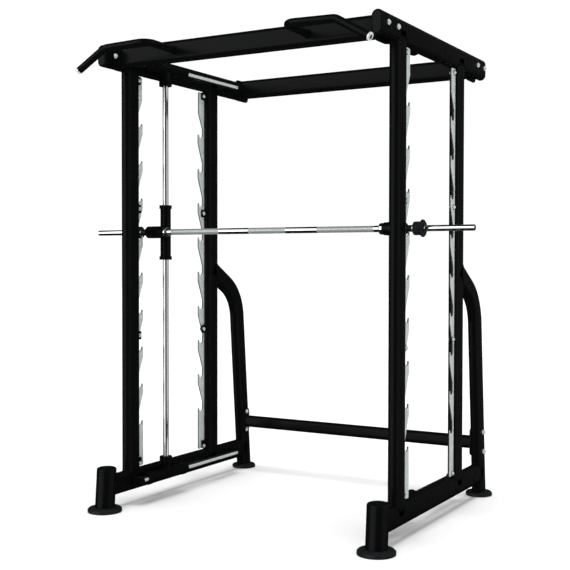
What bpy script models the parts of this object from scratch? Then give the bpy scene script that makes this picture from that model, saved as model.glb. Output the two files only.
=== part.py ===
"""Two-axis smith machine: two side frames, three cross beams, four hook racks,
and a bar that slides up and down on a carriage that itself slides front to back.

Frame of the part: +Z up, front of the machine at -Y, X = 0 is the mirror plane,
the floor under the foot discs is Z = 0. Lengths are in metres.
"""
import math

import bmesh
import bpy
from mathutils import Matrix, Vector

GAP = 0.0003                 # clearance between pieces that touch
ORIGIN_Y = 0.1424            # the part's origin, midway between front and back

# flat-oval frame tube
TUBE_W = 0.050               # across the flats
TUBE_H = 0.100               # along the long side
WALL = 0.0025
SIDE_X = 0.692               # centre plane of each side frame
ROUND_STEPS = 7              # facets on each half round
INNER_STEPS = 4              # facets on each half round inside the tubes
FAR = 1.5                    # beyond the part, for cutters

# side frames
TOP_Z = 2.101                # centre height of the top rails
TOP_Y0, TOP_Y1 = -0.420, 0.768
CAP_T = 0.014                # end caps of the top rails
CAP_DOME = ((GAP / CAP_T, 1.0), (0.45, 0.985), (0.8, 0.90), (1.0, 0.72))
BASE_Z = 0.1145              # centre height of the base rails
FRONT_UP_Y = -0.2252         # centre of the front uprights
REAR_UP_Y = 0.4524           # centre of the rear uprights
POST_R = 0.0455              # front foot post
POST_Y = -0.418              # its centre on the floor
POST_LEAN = 0.075            # how far it leans back per metre of height
POST_TOP = 0.190
POST_CAP_H = 0.015
POST_DOME = ((GAP / POST_CAP_H, 1.0), (0.35, 0.985), (0.7, 0.90), (1.0, 0.66))
DISC_FRONT_R, DISC_REAR_R = 0.079, 0.0645
DISC_H = 0.022
DISC_EDGE = 0.006
LEG_START = (REAR_UP_Y, 1.119)   # centre line of the rear leg, (y, z)
LEG_SLOPE0 = math.radians(30)    # where it leaves the upright
LEG_SLOPE1 = math.radians(85)    # down to the floor
LEG_BEND_Z = 0.860               # height where the bend ends
LEG_BEND_Y = 0.7145
LEG_BEND_R = 0.22
LEG_BEND_STEPS = 9

# cross beams
BEAM_Z = 2.105
FRONT_BEAM_Y = -0.325
REAR_BEAM_Y = 0.717
PLATE_T = 0.008              # end plates of the beams
PLATE_HALF_Y = 0.061
PLATE_Z0, PLATE_Z1 = 2.041, 2.149
PLATE_CORNER = 0.022
LOW_BEAM_Y = 0.7665
LOW_BEAM_Z = 0.2645
LOW_BEAM_W, LOW_BEAM_H = 0.040, 0.0645
LOW_PLATE_W, LOW_PLATE_Z0, LOW_PLATE_Z1 = 0.056, 0.200, 0.336
LOW_PLATE_CORNER = 0.020

# pull-up grips
GRIP_R = 0.0165
GRIP_X = 0.340
GRIP_Y = -0.552              # line of the outward run
GRIP_ELBOW_X = 0.572         # where the grip turns down
GRIP_END = (0.716, 2.019)    # (x, z) of the outer end
GRIP_BEND_R = 0.050
GRIP_CAP_L = 0.012
GRIP_CAP_R = 1.03 * GRIP_R
GRIP_RISE, GRIP_DROP = 0.004, 0.002   # the run's ends, above and below the beam's centre

# hook racks
RACK_T = 0.006
RACK_X = 0.700
RACK_Z0, RACK_Z1 = 0.168, 2.047
HOOK_PITCH = 0.180
HOOK_Z0 = 0.385              # height of the lowest hook tip
HOOKS = 9
TIP_DEPTH = 0.0532           # hook tip, out from the upright's face
ROOT_DEPTH = 0.0140          # strip left behind the notches
PRONG_T = 0.0080
NOTCH_DEPTH = 0.0185
NOTCH_STEPS = 6
SLOPE_START = 0.032          # where a hook's underside starts, above the tip below it
SLOPE_END = 0.048            # where the underside meets the tip's face, below the tip
TOP_EDGE = 0.004             # the top of the rack stands this far behind the tips
TOP_SLOPE_END = 0.110
TAB_Z = (0.190, 0.802, 1.412, 2.028)
TAB_H, TAB_T, TAB_OUT = 0.040, 0.008, 0.030

# guide rods and carriage
ROD_R = 0.014
ROD_X = 0.6205
BASE_ROD_Z = 0.119
TOP_ROD_Z = 2.0965
ROD_Y0, ROD_Y1 = -0.2385, 0.5955   # inner faces of the rod brackets
BRACKET_L = 0.022
BRACKET_H = 0.038
BRACKET_REACH = 0.024        # how far a bracket reaches past the rod's axis
WELD_IN = 0.002              # how far a welded tab or bracket sinks into its tube
CAR_Y = -0.041               # rest position of the vertical rods
SLEEVE_R = 0.0255
NECK_R = 0.98 * SLEEVE_R     # between a sleeve and its socket
FLANGE_R = 0.0305
SLEEVE_HALF = 0.155
SLEEVE_FLANGE = 0.030
FIT = 0.0005                 # running clearance round the rods
SOCKET_BASE_Z = 0.2036
SOCKET_TOP_Z = 2.0115
SOCKET_H = 0.030
SOCKET_R = 0.0310
SOCKET_DEPTH = 0.022
EDGE = 0.003                 # chamfers of the sleeves and sockets

# bar assembly
BAR_Y, BAR_Z = -0.106, 1.3005
BAR_R = 0.014
BAR_END_R = 0.0130
BAR_HALF = 0.983
BAR_STEP_X = 0.768           # where the thinner loading end begins
SLIDER_HALF = 0.133
SLIDER_FLANGE = 0.018
SADDLE_HALF_W, SADDLE_HALF_H = 0.020, 0.022
BARREL_R = 0.0290
BARREL_X0, BARREL_X1 = 0.5780, 0.6800
BARREL_EDGE = 0.004
RING_X0 = 0.5600             # chrome bearing ring at the barrel's inner end
RING_R = 0.0250
RING_LEAD = 0.006
WASHER_X0, WASHER_X1, WASHER_R = 0.7110, 0.7250, 0.0290
STOP_X1, STOP_R = 0.7620, 0.0375
BAR_CHAMFER = 0.0015
WASHER_EDGE, STOP_EDGE = 0.003, 0.009

BLACK = ("frame_black", (0.012, 0.013, 0.014), 0.32, 0.0)
CAPB = ("cap_black", (0.015, 0.015, 0.016), 0.45, 0.0)
RUBBER = ("foot_rubber", (0.013, 0.014, 0.016), 0.60, 0.0)
CHROME = ("chrome", (0.78, 0.80, 0.80), 0.12, 1.0)
ZINC = ("rack_zinc", (0.66, 0.70, 0.70), 0.28, 1.0)

SIDES = ((-1, "left"), (1, "right"))
ROOT = "smith_machine"
PLACE = {}                   # position of every empty in the design frame


def clear_scene():
    for ob in list(bpy.data.objects):
        bpy.data.objects.remove(ob, do_unlink=True)


def material(spec):
    name, colour, rough, metal = spec
    mat = bpy.data.materials.get(name)
    if mat is None:
        mat = bpy.data.materials.new(name)
        mat.use_nodes = True
        bsdf = mat.node_tree.nodes["Principled BSDF"]
        bsdf.inputs["Base Color"].default_value = (*colour, 1.0)
        bsdf.inputs["Roughness"].default_value = rough
        bsdf.inputs["Metallic"].default_value = metal
    return mat


def new_object(name, bm, spec, parent=None, origin=(0, 0, 0)):
    """Turn a bmesh given in the design frame into a placed object."""
    bmesh.ops.recalc_face_normals(bm, faces=bm.faces)
    origin = Vector(origin)
    bmesh.ops.translate(bm, verts=bm.verts, vec=-origin)
    mesh = bpy.data.meshes.new(name)
    bm.to_mesh(mesh)
    bm.free()
    ob = bpy.data.objects.new(name, mesh)
    bpy.context.collection.objects.link(ob)
    ob.location = origin
    mesh.materials.append(material(spec))
    mesh.shade_smooth()
    mesh.set_sharp_from_angle(angle=math.radians(35))
    if parent is not None:
        ob.parent = parent
        ob.location = origin - PLACE[parent.name]
    return ob


def empty(name, location, parent=None):
    ob = bpy.data.objects.new(name, None)
    ob.empty_display_size = 0.08
    bpy.context.collection.objects.link(ob)
    ob.location = Vector(location)
    if parent is not None:
        ob.parent = parent
        ob.location = Vector(location) - PLACE[parent.name]
    PLACE[name] = Vector(location)
    return ob


# ---------------------------------------------------------------- outlines
def flat_oval(width, height, steps=ROUND_STEPS):
    """Points (a, b) of a flat oval: width along a, height along b."""
    r = width / 2
    half = height / 2 - r
    pts = []
    for i in range(steps + 1):
        t = math.pi * i / steps
        pts.append((r * math.cos(t), half + r * math.sin(t)))
    for i in range(steps + 1):
        t = math.pi + math.pi * i / steps
        pts.append((r * math.cos(t), -half + r * math.sin(t)))
    return pts


def circle(radius, steps=16):
    return [(radius * math.cos(2 * math.pi * i / steps),
             radius * math.sin(2 * math.pi * i / steps)) for i in range(steps)]


def bridge(bm, loops):
    n = len(loops[0])
    for la, lb in zip(loops, loops[1:]):
        for i in range(n):
            j = (i + 1) % n
            bm.faces.new((la[i], la[j], lb[j], lb[i]))
    bm.faces.new(list(reversed(loops[0])))
    bm.faces.new(loops[-1])


def sweep(outline, stations):
    """Closed solid through stations (point, axis_a, axis_b)."""
    bm = bmesh.new()
    loops = []
    for p, a, b in stations:
        p, a, b = Vector(p), Vector(a), Vector(b)
        loops.append([bm.verts.new(p + a * u + b * v) for u, v in outline])
    bridge(bm, loops)
    return bm


def lathe(profile, axis, centre, steps=16):
    """Solid of revolution. profile: (distance along the axis, radius) pairs."""
    bm = bmesh.new()
    centre = Vector(centre)
    e = {"X": Vector((1, 0, 0)), "Y": Vector((0, 1, 0)), "Z": Vector((0, 0, 1))}[axis]
    u = Vector((0, 0, 1)) if axis != "Z" else Vector((1, 0, 0))
    w = e.cross(u)
    loops = []
    for s, r in profile:
        loops.append([bm.verts.new(centre + e * s + (u * c + w * d))
                      for c, d in circle(r, steps)])
    bridge(bm, loops)
    return bm


def box(x0, x1, y0, y1, z0, z1, corner=0.0):
    """Box between two values on each axis; corner rounds its edges along X."""
    bm = bmesh.new()
    bmesh.ops.create_cube(bm, size=1.0)
    sx, sy, sz = abs(x1 - x0), abs(y1 - y0), abs(z1 - z0)
    bmesh.ops.scale(bm, verts=bm.verts, vec=(sx, sy, sz))
    bmesh.ops.translate(bm, verts=bm.verts,
                        vec=((x0 + x1) / 2, (y0 + y1) / 2, (z0 + z1) / 2))
    if corner:
        edges = [e for e in bm.edges
                 if abs((e.verts[0].co - e.verts[1].co).normalized().x) > 0.9]
        bmesh.ops.bevel(bm, geom=edges, offset=corner, segments=3, affect="EDGES",
                        profile=0.5)
    return bm


def rail_y(x, z, y0, y1, grow=0.0, steps=ROUND_STEPS):
    out = flat_oval(TUBE_W + 2 * grow, TUBE_H + 2 * grow, steps)
    return sweep(out, [((x, y, z), (1, 0, 0), (0, 0, 1)) for y in (y0, y1)])


def beam_x(y, z, x0, x1, w=TUBE_W, h=TUBE_H, steps=ROUND_STEPS):
    out = flat_oval(w, h, steps)
    return sweep(out, [((x, y, z), (0, 1, 0), (0, 0, 1)) for x in (x0, x1)])


def upright_z(x, y, z0, z1, grow=0.0, steps=ROUND_STEPS):
    out = flat_oval(TUBE_W + 2 * grow, TUBE_H + 2 * grow, steps)
    return sweep(out, [((x, y, z), (1, 0, 0), (0, 1, 0)) for z in (z0, z1)])


# ---------------------------------------------------------------- booleans
def boolean(ob, bm, operation):
    """Apply one exact boolean of the mesh bm, in the design frame, to ob."""
    bmesh.ops.recalc_face_normals(bm, faces=bm.faces)
    mesh = bpy.data.meshes.new("tool")
    bm.to_mesh(mesh)
    bm.free()
    tool = bpy.data.objects.new("tool", mesh)
    bpy.context.collection.objects.link(tool)
    tool.parent = bpy.data.objects[ROOT]
    mod = ob.modifiers.new("cut", "BOOLEAN")
    mod.solver = "EXACT"
    mod.operation = operation
    mod.object = tool
    bpy.context.view_layer.update()
    dg = bpy.context.evaluated_depsgraph_get()
    result = bpy.data.meshes.new_from_object(ob.evaluated_get(dg))
    ob.modifiers.clear()
    old = ob.data
    ob.data = result
    result.name = ob.name
    bpy.data.meshes.remove(old)
    bpy.data.objects.remove(tool, do_unlink=True)
    bpy.data.meshes.remove(mesh)


def add(ob, bm):
    boolean(ob, bm, "UNION")


def cut(ob, bm):
    boolean(ob, bm, "DIFFERENCE")


def finish_mesh(ob):
    ob.data.shade_smooth()
    ob.data.set_sharp_from_angle(angle=math.radians(35))


# ---------------------------------------------------------------- side frames
def leg_axis(slope):
    """The tube's long side, square to a centre line that falls at this slope."""
    return Vector((0, math.sin(slope), math.cos(slope)))


def leg_stations(side):
    """Centre line of a rear leg with its in-plane axis at each station."""
    a = Vector((1, 0, 0))
    pts = []
    x = side * SIDE_X
    cy = LEG_BEND_Y - LEG_BEND_R * math.sin(LEG_SLOPE1)
    cz = LEG_BEND_Z - LEG_BEND_R * math.cos(LEG_SLOPE1)
    y0 = cy + LEG_BEND_R * math.sin(LEG_SLOPE0)
    z0 = cz + LEG_BEND_R * math.cos(LEG_SLOPE0)
    back = (y0 - LEG_START[0]) / math.cos(LEG_SLOPE0)
    pts.append(((x, y0 - back * math.cos(LEG_SLOPE0),
                 z0 + back * math.sin(LEG_SLOPE0)), a, leg_axis(LEG_SLOPE0)))
    for i in range(LEG_BEND_STEPS + 1):
        t = LEG_SLOPE0 + (LEG_SLOPE1 - LEG_SLOPE0) * i / LEG_BEND_STEPS
        pts.append(((x, cy + LEG_BEND_R * math.sin(t),
                     cz + LEG_BEND_R * math.cos(t)), a, leg_axis(t)))
    zf = DISC_H - 0.004
    run = (LEG_BEND_Z - zf) / math.tan(LEG_SLOPE1)
    pts.append(((x, LEG_BEND_Y + run, zf), a, leg_axis(LEG_SLOPE1)))
    return pts


def leg_body(side, grow=0.0, steps=ROUND_STEPS, longer=0.0):
    """The bent tube; longer extends both ends, for a cutter."""
    st = leg_stations(side)
    if longer:
        for end, near in ((0, 1), (-1, -2)):
            p, q = Vector(st[end][0]), Vector(st[near][0])
            st[end] = (p + (p - q).normalized() * longer, *st[end][1:])
    return sweep(flat_oval(TUBE_W + 2 * grow, TUBE_H + 2 * grow, steps), st)


def leg_y_at(z):
    return LEG_BEND_Y + (LEG_BEND_Z - z) / math.tan(LEG_SLOPE1)


def post_y_at(z):
    return POST_Y + POST_LEAN * z


def post_body(side, z0, z1, grow=0.0, steps=24):
    x = side * SIDE_X
    out = circle(POST_R + grow, steps)
    return sweep(out, [((x, post_y_at(z), z), (1, 0, 0), (0, 1, 0)) for z in (z0, z1)])


def slab(z0, z1):
    return box(-FAR, FAR, -FAR, FAR, z0, z1)


def rod_brackets(side, z):
    """The two blocks on a rail's inner face that hold a guide rod's ends."""
    root = side * (SIDE_X - TUBE_W / 2 + WELD_IN)
    x0, x1 = sorted((root, side * (ROD_X - BRACKET_REACH)))
    return [box(x0, x1, y0, y0 + BRACKET_L, z - BRACKET_H / 2, z + BRACKET_H / 2)
            for y0 in (ROD_Y0 - BRACKET_L, ROD_Y1)]


def side_frame(side, tag, root):
    x = side * SIDE_X
    # top rail and its end caps
    top = new_object(f"top_rail_{tag}", rail_y(x, TOP_Z, TOP_Y0, TOP_Y1), BLACK, root)
    cut(top, rail_y(x, TOP_Z, -FAR, FAR, -WALL, INNER_STEPS))
    for bracket in rod_brackets(side, TOP_ROD_Z):
        add(top, bracket)
    finish_mesh(top)
    for end, y, s in (("front", TOP_Y0, -1), ("rear", TOP_Y1, 1)):
        bm = bmesh.new()
        loops = []
        for share, k in CAP_DOME:
            inset = (1 - k) * TUBE_W
            loops.append([bm.verts.new((x + u, y + s * share * CAP_T, TOP_Z + v))
                          for u, v in flat_oval(TUBE_W - inset, TUBE_H - inset)])
        bridge(bm, loops)
        new_object(f"rail_cap_{end}_{tag}", bm, CAPB, root)

    # base rail, coped round the post and the leg
    base = new_object(f"base_rail_{tag}",
                      rail_y(x, BASE_Z, POST_Y, leg_y_at(BASE_Z)), BLACK, root)
    cut(base, post_body(side, -FAR, FAR, GAP))
    cut(base, leg_body(side, GAP))
    cut(base, rail_y(x, BASE_Z, -FAR, FAR, -WALL, INNER_STEPS))
    for bracket in rod_brackets(side, BASE_ROD_Z):
        add(base, bracket)
    keep_largest(base)
    finish_mesh(base)

    # uprights, coped over the two rails, with the welded rack tabs
    for end, y, s in (("front", FRONT_UP_Y, 1), ("rear", REAR_UP_Y, -1)):
        up = new_object(f"upright_{end}_{tag}",
                        upright_z(x, y, BASE_Z + TUBE_H / 4, TOP_Z - TUBE_H / 4),
                        BLACK, root)
        cut(up, rail_y(x, BASE_Z, -FAR, FAR, GAP))
        cut(up, rail_y(x, TOP_Z, -FAR, FAR, GAP))
        cut(up, upright_z(x, y, 0, 2 * FAR, -WALL, INNER_STEPS))
        keep_largest(up)
        face = y + s * TUBE_H / 2
        xi = side * (RACK_X - RACK_T / 2 - GAP)
        xo = xi - side * TAB_T
        for z in TAB_Z:
            ya, yb = face - s * WELD_IN, face + s * TAB_OUT
            add(up, box(min(xi, xo), max(xi, xo), min(ya, yb), max(ya, yb),
                        z - TAB_H / 2, z + TAB_H / 2))
        finish_mesh(up)

    # rear leg
    leg = new_object(f"rear_leg_{tag}", leg_body(side), BLACK, root)
    cut(leg, upright_z(x, REAR_UP_Y, 0, 2 * FAR, GAP))
    cut(leg, slab(-FAR, DISC_H + GAP))
    cut(leg, leg_body(side, -WALL, INNER_STEPS, 0.05))
    keep_largest(leg)
    finish_mesh(leg)

    # front post with its domed cap
    post = new_object(f"front_post_{tag}", post_body(side, 0.0, POST_TOP), BLACK, root)
    cut(post, slab(-FAR, DISC_H + GAP))
    cut(post, post_body(side, -FAR, FAR, -WALL, 12))
    finish_mesh(post)
    bm = bmesh.new()
    loops = []
    for share, k in POST_DOME:
        z = POST_TOP + share * POST_CAP_H
        loops.append([bm.verts.new((x + u, post_y_at(z) + v, z))
                      for u, v in circle(POST_R * k, 24)])
    bridge(bm, loops)
    new_object(f"post_cap_{tag}", bm, CAPB, root)

    # foot discs
    for end, r, y in (("front", DISC_FRONT_R, post_y_at(0.01)),
                      ("rear", DISC_REAR_R, leg_y_at(0.01))):
        prof = [(0, r - DISC_EDGE * 0.4), (DISC_EDGE * 0.4, r), (DISC_H - DISC_EDGE, r),
                (DISC_H - DISC_EDGE * 0.3, r - DISC_EDGE * 0.4), (DISC_H, r - DISC_EDGE)]
        new_object(f"foot_disc_{end}_{tag}", lathe(prof, "Z", (x, y, 0), 28), RUBBER, root)


def span(part):
    """Sum of a vertex group's extents on the three axes."""
    return sum(max(v.co[i] for v in part) - min(v.co[i] for v in part) for i in range(3))


def keep_largest(ob):
    """Drop any offcut that a cope leaves behind."""
    bm = bmesh.new()
    bm.from_mesh(ob.data)
    seen, parts = set(), []
    for v in bm.verts:
        if v in seen:
            continue
        stack, part = [v], []
        seen.add(v)
        while stack:
            w = stack.pop()
            part.append(w)
            for e in w.link_edges:
                o = e.other_vert(w)
                if o not in seen:
                    seen.add(o)
                    stack.append(o)
        parts.append(part)
    parts.sort(key=span, reverse=True)
    for part in parts[1:]:
        bmesh.ops.delete(bm, geom=part, context="VERTS")
    bm.to_mesh(ob.data)
    bm.free()


# ---------------------------------------------------------------- cross beams
def beams(root):
    inner = SIDE_X - TUBE_W / 2 - GAP
    for name, y in (("front_beam", FRONT_BEAM_Y), ("rear_beam", REAR_BEAM_Y)):
        ob = new_object(name, beam_x(y, BEAM_Z, -inner + PLATE_T / 2, inner - PLATE_T / 2),
                        BLACK, root)
        for side in (-1, 1):
            xa, xb = side * inner, side * (inner - PLATE_T)
            add(ob, box(min(xa, xb), max(xa, xb), y - PLATE_HALF_Y, y + PLATE_HALF_Y,
                        PLATE_Z0, PLATE_Z1, corner=PLATE_CORNER))
        cut(ob, beam_x(y, BEAM_Z, -FAR, FAR, TUBE_W - 2 * WALL, TUBE_H - 2 * WALL,
                       INNER_STEPS))
        finish_mesh(ob)
    ob = new_object("lower_beam", beam_x(LOW_BEAM_Y, LOW_BEAM_Z, -inner + PLATE_T / 2,
                                         inner - PLATE_T / 2, LOW_BEAM_W, LOW_BEAM_H),
                    BLACK, root)
    for side in (-1, 1):
        xa, xb = side * inner, side * (inner - PLATE_T)
        add(ob, box(min(xa, xb), max(xa, xb), LOW_BEAM_Y - LOW_PLATE_W / 2,
                    LOW_BEAM_Y + LOW_PLATE_W / 2, LOW_PLATE_Z0, LOW_PLATE_Z1,
                    corner=LOW_PLATE_CORNER))
    cut(ob, beam_x(LOW_BEAM_Y, LOW_BEAM_Z, -FAR, FAR, LOW_BEAM_W - 2 * WALL,
                   LOW_BEAM_H - 2 * WALL, INNER_STEPS))
    finish_mesh(ob)


# ---------------------------------------------------------------- pull-up grips
def grip_path(side):
    y0 = FRONT_BEAM_Y - TUBE_W / 2 + WELD_IN
    corners = [Vector((side * GRIP_X, y0, BEAM_Z)),
               Vector((side * GRIP_X, GRIP_Y, BEAM_Z + GRIP_RISE)),
               Vector((side * GRIP_ELBOW_X, GRIP_Y, BEAM_Z - GRIP_DROP)),
               Vector((side * GRIP_END[0], GRIP_Y, GRIP_END[1]))]
    pts = [corners[0]]
    for i in (1, 2):
        p, c, n = corners[i - 1], corners[i], corners[i + 1]
        d0, d1 = (c - p).normalized(), (n - c).normalized()
        half = d0.angle(d1) / 2
        reach = GRIP_BEND_R * math.tan(half)
        a = c - d0 * reach
        mid = (d1 - d0).normalized()
        centre = c + mid * (GRIP_BEND_R / math.cos(half))
        axis = d0.cross(d1).normalized()
        steps = max(3, int(math.degrees(2 * half) / 13))
        for k in range(steps + 1):
            rot = Matrix.Rotation(2 * half * k / steps, 3, axis)
            pts.append(centre + rot @ (a - centre))
    pts.append(corners[3])
    return pts


def tube_along(pts, radius, steps=14):
    stations = []
    t0 = (pts[1] - pts[0]).normalized()
    a = t0.cross(Vector((0, 0, 1))).normalized()
    prev = t0
    for i, p in enumerate(pts):
        if i == 0:
            t = t0
        elif i == len(pts) - 1:
            t = (pts[-1] - pts[-2]).normalized()
        else:
            t = ((pts[i] - pts[i - 1]).normalized()
                 + (pts[i + 1] - pts[i]).normalized()).normalized()
        q = prev.rotation_difference(t)
        a = (q @ a).normalized()
        prev = t
        b = t.cross(a).normalized()
        stations.append((p, a, b))
    return sweep(circle(radius, steps), stations)


def grips(root):
    for side, tag in SIDES:
        pts = grip_path(side)
        ob = new_object(f"pullup_grip_{tag}", tube_along(pts, GRIP_R), BLACK, root)
        cut(ob, box(-FAR, FAR, FRONT_BEAM_Y - TUBE_W / 2 - GAP, FRONT_BEAM_Y,
                    BEAM_Z - TUBE_H, BEAM_Z + TUBE_H))
        keep_largest(ob)
        long = [pts[0] + (pts[0] - pts[1]).normalized() * TUBE_W, *pts[1:-1],
                pts[-1] + (pts[-1] - pts[-2]).normalized() * TUBE_W]
        cut(ob, tube_along(long, GRIP_R - WALL, 8))
        finish_mesh(ob)
        d = (pts[-1] - pts[-2]).normalized()
        a = d.cross(Vector((0, 1, 0))).normalized()
        b = d.cross(a).normalized()
        bm = bmesh.new()
        loops = []
        for s, r in ((GAP, GRIP_CAP_R), (0.7 * GRIP_CAP_L, GRIP_CAP_R),
                     (GRIP_CAP_L, 0.8 * GRIP_CAP_R)):
            c = pts[-1] + d * s
            loops.append([bm.verts.new(c + a * u + b * v) for u, v in circle(r, 16)])
        bridge(bm, loops)
        new_object(f"grip_cap_{tag}", bm, CHROME, root)


# ---------------------------------------------------------------- hook racks
def rack_outline():
    """(depth, z) outline: depth 0 is just clear of the upright's face."""
    inner = TIP_DEPTH - PRONG_T
    r = (inner - ROOT_DEPTH) / 2
    # below the lowest hook the plate keeps its full depth
    pts = [(GAP, RACK_Z0), (TIP_DEPTH - 0.006, RACK_Z0), (TIP_DEPTH, RACK_Z0 + 0.006)]
    for k in range(HOOKS):
        tip = HOOK_Z0 + HOOK_PITCH * k
        # the underside slopes out from the strip to the tip's face
        if k:
            pts += [(ROOT_DEPTH, tip - HOOK_PITCH + SLOPE_START),
                    (TIP_DEPTH, tip - SLOPE_END)]
        pts += [(TIP_DEPTH, tip - 0.003), (TIP_DEPTH - 0.0025, tip), (inner + 0.0015, tip)]
        # round-bottomed notch that the bar drops into
        cy, cz = ROOT_DEPTH + r, tip - NOTCH_DEPTH + r
        for i in range(NOTCH_STEPS + 1):
            t = math.pi * i / NOTCH_STEPS
            pts.append((cy + r * math.cos(t), min(cz - r * math.sin(t), tip - 0.0008)))
    top = HOOK_Z0 + HOOK_PITCH * (HOOKS - 1)
    out = TIP_DEPTH - TOP_EDGE
    pts += [(ROOT_DEPTH, top + SLOPE_START), (out, top + TOP_SLOPE_END),
            (out, RACK_Z1 - 0.006), (out - 0.006, RACK_Z1), (GAP, RACK_Z1)]
    clean = []
    for p in pts:
        if not clean or (Vector(p) - Vector(clean[-1])).length > 1e-5:
            clean.append(p)
    return clean


def racks(root):
    outline = rack_outline()
    for side, tag in SIDES:
        for end, y, s in (("front", FRONT_UP_Y, 1), ("rear", REAR_UP_Y, -1)):
            face = y + s * TUBE_H / 2
            bm = bmesh.new()
            loops = []
            for x in (side * RACK_X - RACK_T / 2, side * RACK_X + RACK_T / 2):
                loops.append([bm.verts.new((x, face + s * d, z)) for d, z in outline])
            bridge(bm, loops)
            new_object(f"rack_{end}_{tag}", bm, ZINC, root)


# ---------------------------------------------------------------- guide rods
def guide_rods(root):
    for side, tag in SIDES:
        x = side * ROD_X
        for where, z in (("base", BASE_ROD_Z), ("top", TOP_ROD_Z)):
            prof = [(ROD_Y0 + GAP, ROD_R), (ROD_Y1 - GAP, ROD_R)]
            new_object(f"{where}_rod_{tag}", lathe(prof, "Y", (x, 0, z)), CHROME, root)


def sleeve_profile(half, flange, r, rf):
    """Radii along a bearing sleeve: a flange at each end, slimmer between."""
    step = 0.001
    return [(-half, rf - EDGE), (-half + EDGE, rf), (-half + flange - step, rf),
            (-half + flange, r), (half - flange, r), (half - flange + step, rf),
            (half - EDGE, rf), (half, rf - EDGE)]


def carriage(root):
    car = empty("carriage_axis", (0, CAR_Y, BASE_ROD_Z), root)
    for side, tag in SIDES:
        x = side * ROD_X
        new_object(f"vertical_rod_{tag}",
                   lathe([(SOCKET_BASE_Z - SOCKET_DEPTH + GAP, ROD_R),
                          (SOCKET_TOP_Z + SOCKET_DEPTH - GAP, ROD_R)], "Z",
                         (x, CAR_Y, 0)), CHROME, car)
        for where, z, mouth, s in (("base", BASE_ROD_Z, SOCKET_BASE_Z, 1),
                                   ("top", TOP_ROD_Z, SOCKET_TOP_Z, -1)):
            ob = new_object(f"tee_block_{where}_{tag}",
                            lathe(sleeve_profile(SLEEVE_HALF, SLEEVE_FLANGE, SLEEVE_R,
                                                 FLANGE_R), "Y", (x, CAR_Y, z)),
                            BLACK, car)
            za, zb = sorted((z, mouth - s * SOCKET_H * 0.5))
            add(ob, lathe([(za, NECK_R), (zb, NECK_R)], "Z", (x, CAR_Y, 0)))
            za, zb = sorted((mouth - s * SOCKET_H, mouth))
            add(ob, lathe([(za, SOCKET_R - EDGE), (za + EDGE, SOCKET_R),
                           (zb - EDGE, SOCKET_R), (zb, SOCKET_R - EDGE)], "Z",
                          (x, CAR_Y, 0)))
            cut(ob, lathe([(-FAR, ROD_R + FIT), (FAR, ROD_R + FIT)], "Y", (x, CAR_Y, z)))
            za, zb = sorted((mouth - s * SOCKET_DEPTH, mouth + s * SOCKET_H))
            cut(ob, lathe([(za, ROD_R + GAP), (zb, ROD_R + GAP)], "Z", (x, CAR_Y, 0)))
            finish_mesh(ob)
    return car


def crosshead(car):
    head = empty("lift_axis", (0, CAR_Y, BAR_Z), car)
    for side, tag in SIDES:
        x = side * ROD_X
        ob = new_object(f"slider_{tag}",
                        lathe(sleeve_profile(SLIDER_HALF, SLIDER_FLANGE, SLEEVE_R,
                                             FLANGE_R), "Z", (x, CAR_Y, BAR_Z)),
                        BLACK, head)
        # saddle between the sleeve and the barrel
        add(ob, box(x - SADDLE_HALF_W, x + SADDLE_HALF_W, BAR_Y, CAR_Y,
                    BAR_Z - SADDLE_HALF_H, BAR_Z + SADDLE_HALF_H))
        s0, s1 = sorted((side * BARREL_X0, side * BARREL_X1))
        ends = [(s0, BARREL_R - EDGE), (s0 + BARREL_EDGE, BARREL_R),
                (s1 - BARREL_EDGE, BARREL_R), (s1, BARREL_R - EDGE)]
        add(ob, lathe(ends, "X", (0, BAR_Y, BAR_Z), 24))
        cut(ob, lathe([(-FAR, ROD_R + FIT), (FAR, ROD_R + FIT)], "Z", (x, CAR_Y, BAR_Z)))
        cut(ob, lathe([(-FAR, BAR_R + FIT), (FAR, BAR_R + FIT)], "X", (0, BAR_Y, BAR_Z)))
        finish_mesh(ob)
        a, b = sorted((side * RING_X0, side * (BARREL_X0 - GAP)))
        if side > 0:
            prof = [(a, RING_R - RING_LEAD), (a + RING_LEAD, RING_R), (b, RING_R)]
        else:
            prof = [(a, RING_R), (b - RING_LEAD, RING_R), (b, RING_R - RING_LEAD)]
        ring = new_object(f"bearing_ring_{tag}", lathe(prof, "X", (0, BAR_Y, BAR_Z)),
                          CHROME, head)
        cut(ring, lathe([(-FAR, BAR_R + FIT), (FAR, BAR_R + FIT)], "X", (0, BAR_Y, BAR_Z)))
        finish_mesh(ring)
    return head


def bar(head):
    axle = empty("bar_axis", (0, BAR_Y, BAR_Z), head)
    o = (0, BAR_Y, BAR_Z)
    c, step = BAR_CHAMFER, 0.001
    prof = [(-BAR_HALF, BAR_END_R - c), (-BAR_HALF + c, BAR_END_R),
            (-BAR_STEP_X, BAR_END_R), (-BAR_STEP_X + step, BAR_R),
            (BAR_STEP_X - step, BAR_R), (BAR_STEP_X, BAR_END_R),
            (BAR_HALF - c, BAR_END_R), (BAR_HALF, BAR_END_R - c)]
    new_object("bar", lathe(prof, "X", o), CHROME, axle, o)
    for side, tag in SIDES:
        for name, x0, x1, r, edge in (
                ("stop_washer", WASHER_X0, WASHER_X1, WASHER_R, WASHER_EDGE),
                ("stop_disc", WASHER_X1 + GAP, STOP_X1, STOP_R, STOP_EDGE)):
            a, b = sorted((side * x0, side * x1))
            rim = [(a, r - edge), (a + edge * 0.35, r - edge * 0.3), (a + edge, r),
                   (b - edge, r), (b - edge * 0.35, r - edge * 0.3), (b, r - edge)]
            ob = new_object(f"{name}_{tag}", lathe(rim, "X", o, 24), CAPB, axle, o)
            cut(ob, lathe([(-FAR, BAR_R + GAP), (FAR, BAR_R + GAP)], "X", o))
            finish_mesh(ob)


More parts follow.
